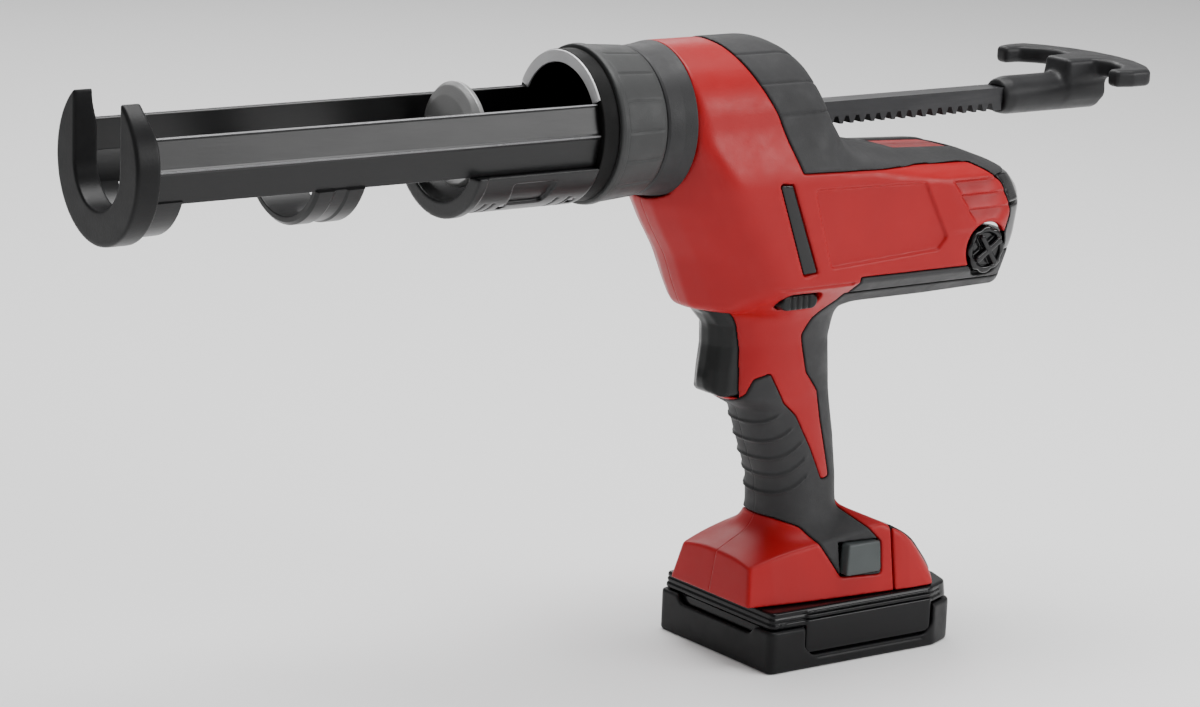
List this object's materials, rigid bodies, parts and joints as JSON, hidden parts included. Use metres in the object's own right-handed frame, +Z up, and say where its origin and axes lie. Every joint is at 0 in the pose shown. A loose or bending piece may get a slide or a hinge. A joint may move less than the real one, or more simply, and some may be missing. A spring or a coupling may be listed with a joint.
{
  "type": "caulking gun",
  "caption": "Battery caulking gun with an open cartridge carriage, rack rod with a bow pull handle, pistol grip, trigger, speed dial and slide battery pack.",
  "frame": {"origin": "centre of the flat underside of the battery pack, which the tool stands on", "axes": "+Z up, -X forward along the barrel towards the nozzle, -Y to the side that carries the speed dial"},
  "size_m": [0.503, 0.083, 0.2643],
  "materials": {
    "carriage_black": "satin",
    "nose_black": "satin",
    "rivet_steel": "satin",
    "ring_grey": "satin",
    "collar_grey": "matte",
    "seat_black": "matte",
    "housing_red": "satin",
    "grip_rubber": "matte",
    "trim_black": "gloss",
    "screw_steel": "satin",
    "bush_bronze": "satin",
    "rod_steel": "satin",
    "piston_grey": "satin",
    "handle_black": "matte",
    "gear_steel": "satin",
    "motor_steel": "satin",
    "magnet_dark": "matte",
    "frame_grey": "matte",
    "trigger_black": "satin",
    "board_green": "satin",
    "latch_grey": "satin",
    "battery_gloss": "gloss",
    "battery_matt": "matte",
    "cell_wrap": "satin"
  },
  "bodies": {
    "housing": {"seat_ring": "seat_black", "foot_rear_cap": "housing_red", "left_housing": "housing_red", "right_housing": "housing_red", "left_top_rubber": "grip_rubber", "right_top_rubber": "grip_rubber", "left_grip_rubber": "grip_rubber", "right_grip_rubber": "grip_rubber", "vent_bars": "trim_black", "housing_screws": "screw_steel", "rod_bushings": "bush_bronze", "shaft_bearings": "gear_steel", "gear_plates": "motor_steel", "ring_gear": "gear_steel", "motor_can": "motor_steel", "motor_magnets": "magnet_dark", "motor_end_bell": "frame_grey", "trigger_switch": "frame_grey", "dial_switch": "board_green", "control_board": "board_green", "terminal_block": "frame_grey"},
    "carriage": {"front_cap": "nose_black", "left_rail": "carriage_black", "right_rail": "carriage_black", "front_hoop": "carriage_black", "mid_saddle": "carriage_black", "rear_cradle": "carriage_black", "carriage_rivets": "rivet_steel", "rear_ring": "ring_grey"},
    "collar": {"lock_collar": "collar_grey"},
    "rod": {"rack_rod": "rod_steel", "piston": "piston_grey", "piston_screw": "screw_steel", "pull_handle": "handle_black", "handle_pin": "screw_steel"},
    "pinion": {"rack_pinion": "gear_steel", "pinion_shaft": "gear_steel", "clutch_ring": "gear_steel"},
    "rotor": {"rotor_shaft": "gear_steel", "rotor_core": "magnet_dark", "cooling_fan": "frame_grey"},
    "carrier": {"planet_carrier": "gear_steel", "bevel_pinion": "gear_steel"},
    "planet_one": {"planet_a": "gear_steel"},
    "planet_two": {"planet_b": "gear_steel"},
    "planet_three": {"planet_c": "gear_steel"},
    "lay_shaft_body": {"lay_shaft": "gear_steel", "bevel_gear": "gear_steel", "idler_pinion": "gear_steel"},
    "clutch_wheel": {"clutch_gear": "gear_steel"},
    "trigger_body": {"trigger": "trigger_black"},
    "lock_button_body": {"lock_button": "trigger_black"},
    "dial_body": {"speed_dial": "trigger_black"},
    "battery": {"battery_case": "battery_gloss", "battery_tray": "battery_matt", "battery_cells": "cell_wrap"},
    "latch_left": {"left_latch": "latch_grey"},
    "latch_right": {"right_latch": "latch_grey"}
  },
  "joints": [
    {"name": "rod_slide", "type": "slide", "parent": "housing", "child": "rod", "axis": [1, 0, 0], "range_m": [-0.087, 0.085]},
    {"name": "pinion_spin", "type": "hinge", "parent": "housing", "child": "pinion", "pos_m": [-0.046, 0, 0.2144], "axis": [0, 1, 0], "range_deg": [-470, 460]},
    {"name": "motor_spin", "type": "hinge", "parent": "housing", "child": "rotor", "pos_m": [0.004, 0, 0.1814], "axis": [1, 0, 0], "continuous": true},
    {"name": "carrier_spin", "type": "hinge", "parent": "housing", "child": "carrier", "pos_m": [-0.021, 0, 0.1814], "axis": [1, 0, 0], "continuous": true},
    {"name": "planet_one_spin", "type": "hinge", "parent": "carrier", "child": "planet_one", "pos_m": [-0.014, 0, 0.1934], "axis": [1, 0, 0], "continuous": true},
    {"name": "planet_two_spin", "type": "hinge", "parent": "carrier", "child": "planet_two", "pos_m": [-0.014, -0.01039, 0.1754], "axis": [1, 0, 0], "continuous": true},
    {"name": "planet_three_spin", "type": "hinge", "parent": "carrier", "child": "planet_three", "pos_m": [-0.014, 0.01039, 0.1754], "axis": [1, 0, 0], "continuous": true},
    {"name": "lay_shaft_spin", "type": "hinge", "parent": "housing", "child": "lay_shaft_body", "pos_m": [-0.046, 0, 0.1814], "axis": [0, 1, 0], "continuous": true},
    {"name": "clutch_gear_spin", "type": "hinge", "parent": "housing", "child": "clutch_wheel", "pos_m": [-0.046, 0.014, 0.2144], "axis": [0, 1, 0], "continuous": true},
    {"name": "carriage_turn", "type": "hinge", "parent": "housing", "child": "carriage", "pos_m": [-0.106, 0, 0.232], "axis": [1, 0, 0], "range_deg": [-180, 180]},
    {"name": "collar_turn", "type": "hinge", "parent": "housing", "child": "collar", "pos_m": [-0.119, 0, 0.232], "axis": [1, 0, 0], "range_deg": [0, 60]},
    {"name": "trigger_pull", "type": "slide", "parent": "housing", "child": "trigger_body", "axis": [1, 0, 0], "range_m": [0, 0.007], "stiffness_N_per_m": 600, "springref_m": -0.002},
    {"name": "lock_slide", "type": "slide", "parent": "housing", "child": "lock_button_body", "axis": [0, 1, 0], "range_m": [-0.003, 0.003]},
    {"name": "speed_turn", "type": "hinge", "parent": "housing", "child": "dial_body", "pos_m": [0.059, -0.034, 0.1714], "axis": [0, 1, 0], "range_deg": [-135, 135]},
    {"name": "battery_slide", "type": "slide", "parent": "housing", "child": "battery", "axis": [1, 0, 0], "range_m": [0, 0.1]},
    {"name": "latch_left_press", "type": "slide", "parent": "housing", "child": "latch_left", "axis": [0, 1, 0], "range_m": [0, 0.0025], "stiffness_N_per_m": 400, "springref_m": -0.001},
    {"name": "latch_right_press", "type": "slide", "parent": "housing", "child": "latch_right", "axis": [0, -1, 0], "range_m": [0, 0.0025], "stiffness_N_per_m": 400, "springref_m": -0.001}
  ],
  "couplings": [
    {"joint": "pinion_spin", "follows": "rod_slide", "rad_per_m": 92.593},
    {"joint": "carrier_spin", "follows": "motor_spin", "ratio": 0.2},
    {"joint": "planet_one_spin", "follows": "motor_spin", "ratio": -0.53333},
    {"joint": "planet_two_spin", "follows": "motor_spin", "ratio": -0.53333},
    {"joint": "planet_three_spin", "follows": "motor_spin", "ratio": -0.53333},
    {"joint": "lay_shaft_spin", "follows": "motor_spin", "ratio": -0.1},
    {"joint": "clutch_gear_spin", "follows": "motor_spin", "ratio": 0.0375}
  ]
}
